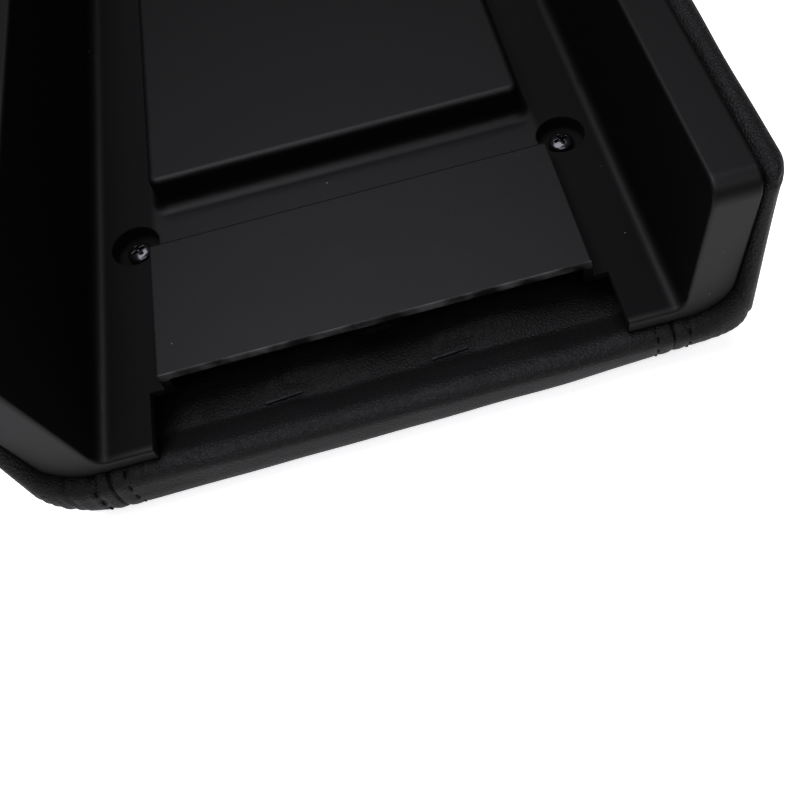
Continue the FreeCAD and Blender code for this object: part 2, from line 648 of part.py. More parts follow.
# Pan-head screws, seated in the four wells
screw = new_body("screw")
profile = outline(screw, "screw_profile", "XZ_Plane", "0", [
    ("0", "- screw_length"), ("screw_tip", "- screw_length"), ("screw_shank", "screw_point - screw_length"),
    ("screw_shank", "0"), ("head_radius", "0"), ("head_radius", "head_rim"),
    ("head_flat", "head_height"), ("0", "head_height")])
turned = screw.newObject("PartDesign::Revolution", "screw_turned")
turned.Profile = profile
turned.ReferenceAxis = (profile, ["V_Axis"])
turned.Angle = 360
doc.recompute()
fillet(screw, "screw_dome", "head_round", lambda e: lies(e, "Z", "head_rim"))


def copies(label, shape, places):
    """One node of several like pieces, each set at its own place."""
    group = doc.addObject("Part::Feature", label)
    group.Label = label
    solids = []
    for place in places:
        solid = shape.copy()
        solid.Placement = place.multiply(solid.Placement)
        solids.append(solid)
    group.Shape = Part.makeCompound(solids)
    return group


head_level = value(SEAT) + value("pilot_clearance")
screw_spots = [FreeCAD.Placement(FreeCAD.Vector(value(x), value(y), head_level), FreeCAD.Rotation())
               for x, y in screw_places]
liner_screws = copies("liner_screws", screw.Shape, screw_spots)

# Staples through the tucked leather into the core
wire = value("staple_wire")
crown_length = value("staple_crown")
crown = Part.makeBox(crown_length, wire, wire, FreeCAD.Vector(-crown_length / 2, -wire / 2, -wire / 2))
legs = [Part.makeBox(wire, wire, value("staple_leg"), FreeCAD.Vector(x, -wire / 2, -value("staple_leg")))
        for x in (-crown_length / 2, crown_length / 2 - wire)]
staple = crown.multiFuse(legs).removeSplitter()
staple_level = value(FLAP) + value("leather_thickness") + wire / 2
left, right = (value("- staple_outer_shift %s staple_outer_spacing / 2" % sign) for sign in "-+")
outer_y = value(REAR) + value("staple_outer_setback")
inner_y = value(REAR) + value("staple_inner_setback")
tilt = FreeCAD.Rotation(FreeCAD.Vector(0, 0, 1), value("staple_tilt"))
staple_spots = [FreeCAD.Placement(FreeCAD.Vector(x, y, staple_level), tilt)
                for x, y in ((left, outer_y), (right, outer_y), (0, inner_y))]
staples = copies("staples", staple, staple_spots)

nodes = covers + [foam_pad, core_shell, liner, liner_screws, staples, latch_bezel, latch_slider, latch_spring]
doc.recompute()
failed = [obj.Name for obj in doc.Objects if "Invalid" in obj.State or "Error" in obj.State]
failed += [obj.Label for obj in nodes if obj.Shape.isNull() or not obj.Shape.isValid()]
for obj in nodes:
    box = obj.Shape.optimalBoundingBox(False)
    print(obj.Label, len(obj.Shape.Solids), round(obj.Shape.Volume), box)
if failed:
    raise RuntimeError("not built: " + ", ".join(failed))
os.makedirs("parts", exist_ok=True)
for obj in nodes:
    obj.Shape.exportStep("parts/%s.step" % obj.Label)
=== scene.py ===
import math

import bmesh
import bpy
import numpy as np
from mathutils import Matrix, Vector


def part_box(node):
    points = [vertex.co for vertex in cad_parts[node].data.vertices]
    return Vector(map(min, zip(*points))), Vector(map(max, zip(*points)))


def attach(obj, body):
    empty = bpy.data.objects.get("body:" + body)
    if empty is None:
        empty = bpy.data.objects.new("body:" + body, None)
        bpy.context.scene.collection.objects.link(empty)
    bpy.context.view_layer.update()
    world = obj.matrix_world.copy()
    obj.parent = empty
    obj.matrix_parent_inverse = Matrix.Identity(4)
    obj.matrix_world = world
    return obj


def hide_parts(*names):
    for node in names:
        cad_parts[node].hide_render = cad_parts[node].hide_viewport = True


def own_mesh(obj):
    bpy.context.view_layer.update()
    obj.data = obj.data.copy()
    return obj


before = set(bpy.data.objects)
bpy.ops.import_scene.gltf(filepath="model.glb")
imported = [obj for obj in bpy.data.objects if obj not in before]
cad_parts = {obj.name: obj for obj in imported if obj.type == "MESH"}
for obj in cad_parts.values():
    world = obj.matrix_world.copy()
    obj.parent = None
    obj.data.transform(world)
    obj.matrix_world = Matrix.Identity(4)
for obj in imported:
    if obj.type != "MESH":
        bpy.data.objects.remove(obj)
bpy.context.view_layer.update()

# Core shell: the carrier that the leather is wrapped round, moulded in plain black plastic.
# The liner is screwed to it, and it shows only in the shade of the hinge pocket.
MM = 0.001
CORE_BLACK = (0.012, 0.012, 0.013)


def new_finish(name, colour, roughness, specular, metallic=0.0):
    """A finish with one surface shader; returns its material, node tree and shader."""
    finish = bpy.data.materials.new(name)
    finish.use_nodes = True
    tree = finish.node_tree
    shader = tree.nodes["Principled BSDF"]
    shader.inputs["Base Color"].default_value = (*colour, 1.0)
    shader.inputs["Roughness"].default_value = roughness
    shader.inputs["Specular IOR Level"].default_value = specular
    shader.inputs["Metallic"].default_value = metallic
    return finish, tree, shader


def add_node(tree, kind, links=(), **settings):
    """A node with its settings; links name an input and the socket that feeds it."""
    node = tree.nodes.new(kind)
    for key, setting in settings.items():
        if key in node.inputs:
            node.inputs[key].default_value = setting
        else:
            setattr(node, key, setting)
    for key, socket in links:
        tree.links.new(socket, node.inputs[key])
    return node


def place_on(tree):
    """The socket that gives a point's place on the object, in metres."""
    return add_node(tree, "ShaderNodeTexCoord").outputs["Object"]


def add_noise(tree, place, scale, detail=2.0, roughness=0.5):
    """A cloudy pattern, from 0 to 1."""
    noise = add_node(tree, "ShaderNodeTexNoise", [("Vector", place)], Scale=scale, Detail=detail,
                     Roughness=roughness)
    return noise.outputs["Fac"]


def add_bump(tree, shader, height, depth_mm, strength, under=None):
    """Raises the shader's normal by a height pattern, on top of another node's normal if there is one."""
    links = [("Height", height)]
    if under is not None:
        links.append(("Normal", under.outputs["Normal"]))
    bump = add_node(tree, "ShaderNodeBump", links, Distance=depth_mm * MM, Strength=strength)
    tree.links.new(bump.outputs["Normal"], shader.inputs["Normal"])
    return bump


def coat_node(name, finish):
    """Gives a solid of the frame its finish."""
    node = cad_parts[name]
    node.data.materials.clear()
    node.data.materials.append(finish)


core_finish, core_tree, core_shader = new_finish("core_plain_moulding", CORE_BLACK, 0.6, 0.3)
core_mottle = add_noise(core_tree, place_on(core_tree), 900.0, 3.0)
add_bump(core_tree, core_shader, core_mottle, 0.05, 0.4)
coat_node("core_shell", core_finish)

# Leather top panel: the middle strip of the cover, black grained leather glued over the foam pad.
# It runs from under the front rim, over the padded top and the hinge-end nose, down into the notch
# of the liner, where it is stapled flat to the core.


def box_mm(name):
    """The low and high corner of a solid of the frame, in millimetres."""
    return (np.array(corner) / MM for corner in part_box(name))


top_low, top_high = box_mm("cover_top_panel")
liner_low, liner_high = box_mm("liner")
SEAM_LEFT, SEAM_RIGHT = top_low[0], top_high[0]
COVER_FRONT, COVER_TOP = top_high[1], top_high[2]
LINER_REAR = liner_low[1]
LIP = 19.0
FLAP_LEVEL, FLAP_END = 12.5, LINER_REAR + 31.0
END_RADIUS = 11.0
REAR_LEAN = math.tan(math.radians(3.1))
REAR_CENTRE = top_low[1] + END_RADIUS
RIM_WIDTH, RIM_TURN_IN = 6.95, 8.0
RIM_HALF = RIM_WIDTH / 2
RIM_SPRING = COVER_TOP - RIM_HALF
ROLL, ROLL_END = 4.4, 62.0
LEATHER_THICK = 1.0


def spread(start, end, count):
    """Even steps from start to end, without the end."""
    return np.linspace(start, end, count, endpoint=False)


def arc(cx, cy, radius, start, end, count):
    """Points on a circle between two angles in degrees, without the last one."""
    angle = np.radians(spread(start, end, count))
    return np.stack([cx + radius * np.cos(angle), cy + radius * np.sin(angle)], 1)


def line(a, b, count):
    """Even points from a towards b, without b."""
    return np.array(a) + np.outer(spread(0, 1, count), np.array(b) - np.array(a))


def ease(a, slope_a, b, slope_b, count):
    """A cubic from a to b that leaves and arrives along the two slopes, without b."""
    f = spread(0, 1, count)[:, None]
    a, slope_a, b, slope_b = (np.array(v, float) for v in (a, slope_a, b, slope_b))
    return ((2 * f**3 - 3 * f**2 + 1) * a + (f**3 - 2 * f**2 + f) * slope_a
            + (3 * f**2 - 2 * f**3) * b + (f**3 - f**2) * slope_b)


def run_along(points):
    """The distance of each point from the first one, along the line of points."""
    return np.r_[0, np.cumsum(np.linalg.norm(np.diff(points, axis=0), axis=1))]


def grid_faces(rows, columns):
    """Corner numbers of the four-sided faces of a grid of points."""
    number = np.arange(rows * columns).reshape(rows, columns)
    corners = (number[:-1, :-1], number[:-1, 1:], number[1:, 1:], number[1:, :-1])
    return np.stack([c.ravel() for c in corners], 1)


def grid_normals(points, reach=1):
    """Unit normals of a grid of points, from the cross product of its two directions, the second one
    taken over a number of columns on each side."""
    column = np.arange(points.shape[1])
    ahead = points[:, np.minimum(column + reach, column[-1])] - points[:, np.maximum(column - reach, 0)]
    normal = np.cross(ahead, np.gradient(points, axis=0))
    return normal / np.maximum(np.linalg.norm(normal, axis=2, keepdims=True), 1e-9)


def new_piece(name, points_mm, faces, finish, body):
    """A smooth mesh of points and four-sided faces, with doubled points joined, riding on a body."""
    mesh = bpy.data.meshes.new(name)
    points = (points_mm.reshape(-1, 3) * MM).astype(np.float32)
    mesh.vertices.add(len(points))
    mesh.vertices.foreach_set("co", points.ravel())
    mesh.loops.add(faces.size)
    mesh.loops.foreach_set("vertex_index", faces.ravel().astype(np.int32))
    mesh.polygons.add(len(faces))
    mesh.polygons.foreach_set("loop_start", np.arange(0, faces.size, 4, dtype=np.int32))
    mesh.update(calc_edges=True)
    mesh.validate()
    cleaner = bmesh.new()
    cleaner.from_mesh(mesh)
    bmesh.ops.remove_doubles(cleaner, verts=cleaner.verts, dist=0.004 * MM)
    bmesh.ops.dissolve_degenerate(cleaner, edges=cleaner.edges, dist=0.002 * MM)
    cleaner.to_mesh(mesh)
    cleaner.free()
    mesh.polygons.foreach_set("use_smooth", np.ones(len(mesh.polygons), bool))
    mesh.materials.append(finish)
    piece = bpy.data.objects.new(name, mesh)
    bpy.context.scene.collection.objects.link(piece)
    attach(piece, body)
    return piece


def waves(seed, u, v, count, lengths, slant):
    """A sum of sine waves of chosen lengths, whose crests run at random slants across u."""
    draw = np.random.default_rng(seed)
    total = np.zeros(np.broadcast(u, v).shape)
    for _ in range(count):
        length = draw.uniform(*lengths)
        turn = draw.uniform(-slant, slant)
        phase = draw.uniform(0, 2 * math.pi)
        total += np.sin(2 * math.pi / length * (u * math.cos(turn) + v * math.sin(turn)) + phase)
    return total / math.sqrt(count)


def hill(u, centre, width):
    """A smooth hill of height 1."""
    return np.exp(-((u - centre) / width) ** 2)


def step(u, start, end):
    """Goes smoothly from 0 at start to 1 at end."""
    f = np.clip((u - start) / (end - start), 0, 1)
    return f * f * (3 - 2 * f)


SEAM_DEPTH, SEAM_HALF = 0.9, 0.4
STITCH_OFFSET, STITCH_PITCH = 4.4, 4.6
DIMPLE_DEPTH, DIMPLE_SWING, DIMPLE_HALF = 0.30, 0.16, 0.8
SWELL_HEIGHT, SWELL_OFFSET, SWELL_HALF = 0.14, 2.2, 1.0


def seam_dents(distance, along):
    """How far a seam pulls the leather in, by the distance from it: a groove at the seam, a row of
    dimples at the stitches beside it, and a low swell between the two."""
    groove = SEAM_DEPTH * hill(distance, 0, SEAM_HALF)
    dimples = DIMPLE_DEPTH + DIMPLE_SWING * np.cos(2 * math.pi * along / STITCH_PITCH)
    swell = SWELL_HEIGHT * hill(distance, SWELL_OFFSET, SWELL_HALF)
    return -groove - dimples * hill(distance, STITCH_OFFSET, DIMPLE_HALF) + swell


def map_range(tree, socket, start, end, low=0.0, high=1.0, shape="LINEAR"):
    """Carries a value from start..end over to low..high, held at both ends."""
    node = add_node(tree, "ShaderNodeMapRange", [("Value", socket)], interpolation_type=shape)
    for key, number in (("From Min", start), ("From Max", end), ("To Min", low), ("To Max", high)):
        node.inputs[key].default_value = number
    return node.outputs["Result"]


LEATHER_BLACK = (0.010, 0.010, 0.0108)
PEBBLE_WARP = (0.0010, 0.0010, 0.0010)
leather_finish, leather_tree, leather_shader = new_finish("black_grained_leather", LEATHER_BLACK, 0.6, 0.45)
leather_place = place_on(leather_tree)
leather_warp = add_node(leather_tree, "ShaderNodeTexNoise", [("Vector", leather_place)], Scale=500.0,
                        Detail=2.0)
leather_bent = add_node(leather_tree, "ShaderNodeVectorMath",
                        [(0, leather_warp.outputs["Color"]), (2, leather_place)], operation="MULTIPLY_ADD")
leather_bent.inputs[1].default_value = PEBBLE_WARP
leather_pebble = add_node(leather_tree, "ShaderNodeTexVoronoi", [("Vector", leather_bent.outputs["Vector"])],
                          feature="DISTANCE_TO_EDGE", Scale=950.0)
leather_crease = map_range(leather_tree, leather_pebble.outputs["Distance"], 0.0, 0.35)
leather_fine = add_noise(leather_tree, leather_place, 2600.0, 3.0)
leather_low = add_bump(leather_tree, leather_shader, leather_fine, 0.09, 0.40)
add_bump(leather_tree, leather_shader, leather_crease, 0.16, 0.8, leather_low)
leather_patch = add_noise(leather_tree, leather_place, 45.0, 4.0)
leather_gloss = map_range(leather_tree, leather_patch, 0.0, 1.0, 0.54, 0.70)
leather_tree.links.new(leather_gloss, leather_shader.inputs["Roughness"])

# The panel's section, as one line of points in Y and Z from the front rim to the end of the flap
RIM_POINTS, NOSE_POINTS, WALL_POINTS, ROLL_POINTS, SLOPE_POINTS, FLAP_POINTS = 22, 30, 9, 16, 24, 40
rear_face = REAR_CENTRE - END_RADIUS
lip_y = rear_face + REAR_LEAN * (LIP - END_RADIUS) + ROLL
roll_out = np.radians(ROLL_END)
roll_leaves = np.array([lip_y + ROLL * math.cos(roll_out), LIP - ROLL + ROLL * math.sin(roll_out)])
VALLEY = np.array([LINER_REAR + 11.5, FLAP_LEVEL])
front_path = np.concatenate([
    line((COVER_FRONT - RIM_WIDTH, COVER_TOP - RIM_TURN_IN), (COVER_FRONT - RIM_WIDTH, RIM_SPRING), 4),
    arc(COVER_FRONT - RIM_HALF, RIM_SPRING, RIM_HALF, 180, 0, RIM_POINTS - 4),
    line((COVER_FRONT, RIM_SPRING), (COVER_FRONT, END_RADIUS), 44),
    arc(COVER_FRONT - END_RADIUS, END_RADIUS, END_RADIUS, 0, -90, 18)])
bottom_path = line((COVER_FRONT - END_RADIUS, 0.0), (REAR_CENTRE - REAR_LEAN * END_RADIUS, 0.0), 90)
nose_path = arc(REAR_CENTRE, END_RADIUS, END_RADIUS, -90, -180, NOSE_POINTS)
nose_path[:, 0] += REAR_LEAN * (nose_path[:, 1] - END_RADIUS)
flap_path = np.concatenate([line(VALLEY, (FLAP_END, FLAP_LEVEL), FLAP_POINTS), [(FLAP_END, FLAP_LEVEL)]])
rear_path = np.concatenate([
    nose_path,
    line((rear_face, END_RADIUS), (lip_y - ROLL, LIP - ROLL), WALL_POINTS),
    arc(lip_y, LIP - ROLL, ROLL, 180, ROLL_END, ROLL_POINTS),
    ease(roll_leaves, (5.2, -2.8), VALLEY, (6.5, 0.0), SLOPE_POINTS),
    flap_path])
panel_path = np.concatenate([front_path, bottom_path, rear_path])
path_run = run_along(panel_path)

# Between the feet of the liner the staples pull the ridge of the nose down to a flatter, lower crest.
SAG_LEVEL, BROW_RADIUS, CREST_RADIUS, BROW_END, BROW_POINTS = 18.35, 3.0, 6.0, 112.0, 6
brow_turn, crest_out = math.radians(BROW_END), math.radians(180 - BROW_END)
brow_z = SAG_LEVEL - CREST_RADIUS + (CREST_RADIUS - BROW_RADIUS) * math.sin(brow_turn)
brow_y = rear_face + REAR_LEAN * (brow_z - END_RADIUS) + BROW_RADIUS
crest_y = brow_y - (CREST_RADIUS - BROW_RADIUS) * math.cos(brow_turn)
crest_z = brow_z - (CREST_RADIUS - BROW_RADIUS) * math.sin(brow_turn)
crest_leaves = (crest_y + CREST_RADIUS * math.cos(crest_out), crest_z + CREST_RADIUS * math.sin(crest_out))
sagged_path = np.concatenate([
    nose_path,
    line((rear_face, END_RADIUS), (brow_y - BROW_RADIUS, brow_z), WALL_POINTS),
    arc(brow_y, brow_z, BROW_RADIUS, 180, BROW_END, BROW_POINTS),
    arc(crest_y, crest_z, CREST_RADIUS, BROW_END, 180 - BROW_END, ROLL_POINTS - BROW_POINTS),
    ease(crest_leaves, (9.0, -3.8), VALLEY, (5.0, -0.3), SLOPE_POINTS),
    flap_path])

# The section is carried across from seam to seam, with finer columns at both seams.
SEAM_FINE, NOTCH_HALF = 9.0, 64.7
top_columns = np.r_[spread(SEAM_LEFT, SEAM_LEFT + SEAM_FINE, 18),
                    spread(SEAM_LEFT + SEAM_FINE, SEAM_RIGHT - SEAM_FINE, 104),
                    np.linspace(SEAM_RIGHT - SEAM_FINE, SEAM_RIGHT, 19)]
top_x = np.broadcast_to(top_columns[None, :], (len(panel_path), len(top_columns)))
top_grid = np.stack([top_x, np.broadcast_to(panel_path[:, :1], top_x.shape),
                     np.broadcast_to(panel_path[:, 1:], top_x.shape)], 2).copy()
sag = step(NOTCH_HALF - np.abs(top_columns), 0, 12)
top_grid[-len(rear_path):, :, 1:] += sag[None, :, None] * (sagged_path - rear_path)[:, None, :]
top_along = np.broadcast_to(path_run[:, None], top_x.shape)
top_y, top_z = top_grid[..., 1], top_grid[..., 2]
in_notch = step(NOTCH_HALF - np.abs(top_x), 0, 9)
behind_lip = step(top_y, LINER_REAR - 1.5, LINER_REAR + 4) * (top_z > 10) * (top_y < 0)
on_flap = behind_lip * in_notch
at_roll = hill(top_y, lip_y, 3.2) * step(top_z, 12, 17) * (top_y < 0)
on_nose = step(REAR_CENTRE - top_y, -6, 4)
on_front = step(top_y, COVER_FRONT - 22, COVER_FRONT - 4)

# Seams, the two lobes beside the staples, soft waves, and the pinch and fan of creases at each staple
LOBE_HEIGHT, LOBE_START, LOBE_END = 4.4, LINER_REAR + 9.5, LINER_REAR + 19.5
STAPLES = ((-31.0, -142.4), (17.0, -142.4), (0.0, -129.3))
dents = seam_dents(top_x - SEAM_LEFT, top_along) + seam_dents(SEAM_RIGHT - top_x, top_along)
lobes = 0.12 + 0.68 * hill(top_x, -22.0, 15.0) + 0.78 * hill(top_x, 29.0, 18.0)
dents = dents + on_flap * LOBE_HEIGHT * (step(top_y, LOBE_START, LOBE_END) * lobes)
valley_fill = 0.30 * waves(17, top_x, top_y, 4, (34, 80), 0.3)
dents = dents + on_flap * valley_fill * hill(top_y, LINER_REAR + 8.0, 4.0)
dents = dents + on_flap * 0.10 * waves(11, top_x, top_y, 7, (9, 26), 0.5)
dents = dents + at_roll * 0.10 * waves(5, top_x, top_along, 6, (18, 52), 0.2)
dents = dents + at_roll * (1 - in_notch) * 0.10 * waves(8, top_x, top_along, 5, (2.6, 5.5), 0.3)
dents = dents + on_nose * (1 - behind_lip) * 0.08 * waves(3, top_x, top_along, 6, (22, 70), 0.9)
dents = dents + on_front * 0.08 * waves(4, top_x, top_along, 6, (20, 60), 0.9)
for staple_x, staple_y in STAPLES:
    off_staple = (top_x - staple_x) / 6.8
    pinch = behind_lip * np.exp(-off_staple**4) * hill(top_y, staple_y, 2.6)
    fan = waves(int(staple_x) + 60, top_x, top_y * 0.4, 4, (3.5, 7.5), 0.4)
    dents = dents + behind_lip * 0.12 * fan * hill(top_x, staple_x, 12.0) * hill(top_y, staple_y + 4.0, 4.0)
    dents = dents * (1 - pinch)


def drawn_under(points, sign):
    """Moves the lower half of the hinge-end nose forwards, by more towards the right end, where the
    leather is pulled tightest. A sign of -1 says that the points' x is mirrored."""
    x, y, z = np.moveaxis(points, 2, 0)
    pull = np.clip(1.8 * (sign * x + 60.0) / 120.0, 0, 2.4) + 1.6 * step(sign * x, 45.0, 84.0)
    moved = points.copy()
    moved[..., 1] += pull * (1 - step(z, 4, 16)) * step(REAR_CENTRE - y, -8, 8)
    return moved


top_grid = drawn_under(top_grid + grid_normals(top_grid) * dents[..., None], 1)

# A window is left in the front for the latch, smaller than the bezel that covers its edge.
BEZEL_COVER = 2.2
bezel_low, bezel_high = box_mm("latch_bezel")
LATCH_LEVEL = (bezel_low[2] + bezel_high[2]) / 2
window_x, window_z = bezel_high[0] - BEZEL_COVER, (bezel_high[2] - bezel_low[2]) / 2 - BEZEL_COVER
top_faces = grid_faces(*top_x.shape)
face_middle = top_grid.reshape(-1, 3)[top_faces].mean(1)
in_window = ((np.abs(face_middle[:, 0]) < window_x) & (np.abs(face_middle[:, 2] - LATCH_LEVEL) < window_z)
             & (face_middle[:, 1] > COVER_FRONT - 4))
leather_top = new_piece("leather_top_panel", top_grid, top_faces[~in_window], leather_finish,
                        "lid")
leather_shell = leather_top.modifiers.new("thickness", "SOLIDIFY")
leather_shell.thickness = LEATHER_THICK * MM
leather_shell.offset = -1.0
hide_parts("cover_top_panel", "foam_pad")

# Leather side panels: the cover's two long sides, of the same leather, sewn to the top panel.
# They are pulled round the lower edge, the rim and both ends, where they are turned in beside the liner.
HALF_WIDTH = 102.4
EDGE_RADIUS, GATE_RADIUS = 20.0, 12.25
SIDE_LEAN = math.radians(2.5)
RIM_LEVEL = liner_high[2]
STRIP_LEVELS, TURN_LEVELS, RISE_LEVELS, ROUND_LEVELS = 8, 39, 33, 14


def side_sections(seam):
    """The section of one side from the seam to the ridge of the rim: its outer line, its outward
    normal, the line of the liner's end that it is turned in to, how far each level is drawn in on the
    rim's round, and each level's share of the strip between the seam and the first turn."""
    def wall(level):
        return HALF_WIDTH - (RIM_LEVEL - level) * math.tan(SIDE_LEAN)

    edge_x = wall(EDGE_RADIUS) - EDGE_RADIUS / math.cos(SIDE_LEAN)
    gate_z = LIP + GATE_RADIUS
    gate_x = wall(gate_z) - RIM_WIDTH - GATE_RADIUS / math.cos(SIDE_LEAN)
    strip = np.linspace(0, 1, STRIP_LEVELS + 1)[:-1]
    turn = np.linspace(-math.pi / 2, -SIDE_LEAN, TURN_LEVELS + 1)[:-1]
    rise = np.linspace(0, 1, RISE_LEVELS + 1)[:-1]
    round_ = math.pi / 2 * (1 - (1 - np.linspace(0, 1, ROUND_LEVELS)) ** 1.7)
    low_a, low_b = EDGE_RADIUS * (1 - math.sin(SIDE_LEAN)), gate_z - GATE_RADIUS * math.sin(SIDE_LEAN)
    wall_a, wall_b = low_a + (RIM_SPRING - low_a) * rise, low_b + (RIM_SPRING - low_b) * rise
    ridge_z = RIM_SPRING + RIM_HALF * np.sin(round_)
    outer = np.concatenate([
        np.stack([seam + (edge_x - seam) * strip, 0 * strip], 1),
        np.stack([edge_x + EDGE_RADIUS * np.cos(turn), EDGE_RADIUS + EDGE_RADIUS * np.sin(turn)], 1),
        np.stack([wall(wall_a), wall_a], 1),
        np.stack([0 * round_ + wall(RIM_SPRING), ridge_z], 1)])
    gate = np.concatenate([
        np.stack([seam + (gate_x - seam) * strip, 0 * strip + LIP], 1),
        np.stack([gate_x + GATE_RADIUS * np.cos(turn), gate_z + GATE_RADIUS * np.sin(turn)], 1),
        np.stack([wall(wall_b) - RIM_WIDTH, wall_b], 1),
        np.stack([0 * round_ + wall(RIM_SPRING) - RIM_WIDTH, ridge_z], 1)])
    lean = np.r_[0 * strip - math.pi / 2, turn, 0 * rise - SIDE_LEAN, 0 * round_]
    normal = np.stack([np.cos(lean), np.sin(lean)], 1)
    drawn_in = np.r_[0 * strip, 0 * turn, 0 * rise, RIM_HALF * (1 - np.cos(round_))]
    share = np.r_[strip, 0 * turn + 1, 0 * rise + 1, 0 * round_ + 1]
    return outer, normal, gate, drawn_in, share


FRONT_COLUMNS, CORNER_COLUMNS, LENGTH_COLUMNS = 20, 16, 150
BEND_COLUMNS, FLAT_COLUMNS, TURN_IN_COLUMNS = 22, 7, 14
RIDGE_SHARES = (0, 0.62, 0.72, 0.985)


def hinge_end(outer_x, outer_z, gate_x, gate_z, share):
    """The wrap of each level round the hinge end: an arc of the end radius, a flat, and an edge that is
    turned in, all measured by the depth towards the gate and the way back from the end of the side. At
    the seam the levels take up the top panel's own section. Returns the places, and where the edge ends."""
    reach = np.hypot(gate_x - outer_x, gate_z - outer_z)
    ux, uz = (gate_x - outer_x) / reach, (gate_z - outer_z) / reach
    roll = np.minimum(ROLL, reach * 0.42)
    arc_depth = np.minimum(END_RADIUS, reach - roll)
    arc_turn = np.arccos(1 - arc_depth / END_RADIUS)
    arc_back = -END_RADIUS * np.sin(arc_turn)
    turned_back = arc_back + roll
    bend = arc_turn * spread(0, 1, BEND_COLUMNS)[None, :]
    flat = spread(0, 1, FLAT_COLUMNS)[None, :]
    f = spread(0, 1, TURN_IN_COLUMNS)[None, :]
    leave_depth, leave_back = 1.9 * roll * np.sin(arc_turn), -1.9 * roll * np.cos(arc_turn)
    from_flat, leaving = 2 * f**3 - 3 * f**2 + 1, f**3 - 2 * f**2 + f
    to_gate, arriving = 3 * f**2 - 2 * f**3, f**3 - f**2
    depth = np.concatenate([
        END_RADIUS * (1 - np.cos(bend)),
        arc_depth + (reach - roll - arc_depth) * flat,
        from_flat * (reach - roll) + leaving * leave_depth + to_gate * reach], 1)
    back = np.concatenate([
        -END_RADIUS * np.sin(bend),
        arc_back + 0 * flat,
        from_flat * arc_back + leaving * leave_back + to_gate * turned_back + arriving * 1.6 * roll], 1)
    wrap_x, wrap_z = outer_x + depth * ux, outer_z + depth * uz
    wrap_y = REAR_CENTRE + REAR_LEAN * (wrap_z - END_RADIUS) + back
    to_ridge = np.concatenate([rear_path[:NOSE_POINTS + WALL_POINTS],
                               arc(lip_y, LIP - ROLL, ROLL, 180, 90, ROLL_POINTS)])
    ridge_run = run_along(to_ridge)
    marks = np.array([1, BEND_COLUMNS, BEND_COLUMNS + FLAT_COLUMNS, depth.shape[1]]) - 1
    pace = np.interp(np.arange(depth.shape[1]), marks, np.array(RIDGE_SHARES) * ridge_run[-1])
    at_seam = 1 - step(share, 0, 1)
    wrap_y = wrap_y + at_seam * (np.interp(pace, ridge_run, to_ridge[:, 0]) - wrap_y)
    wrap_z = wrap_z + at_seam * (np.interp(pace, ridge_run, to_ridge[:, 1]) - wrap_z)
    return (wrap_x, wrap_y, wrap_z), REAR_CENTRE + REAR_LEAN * (gate_z - END_RADIUS) + turned_back


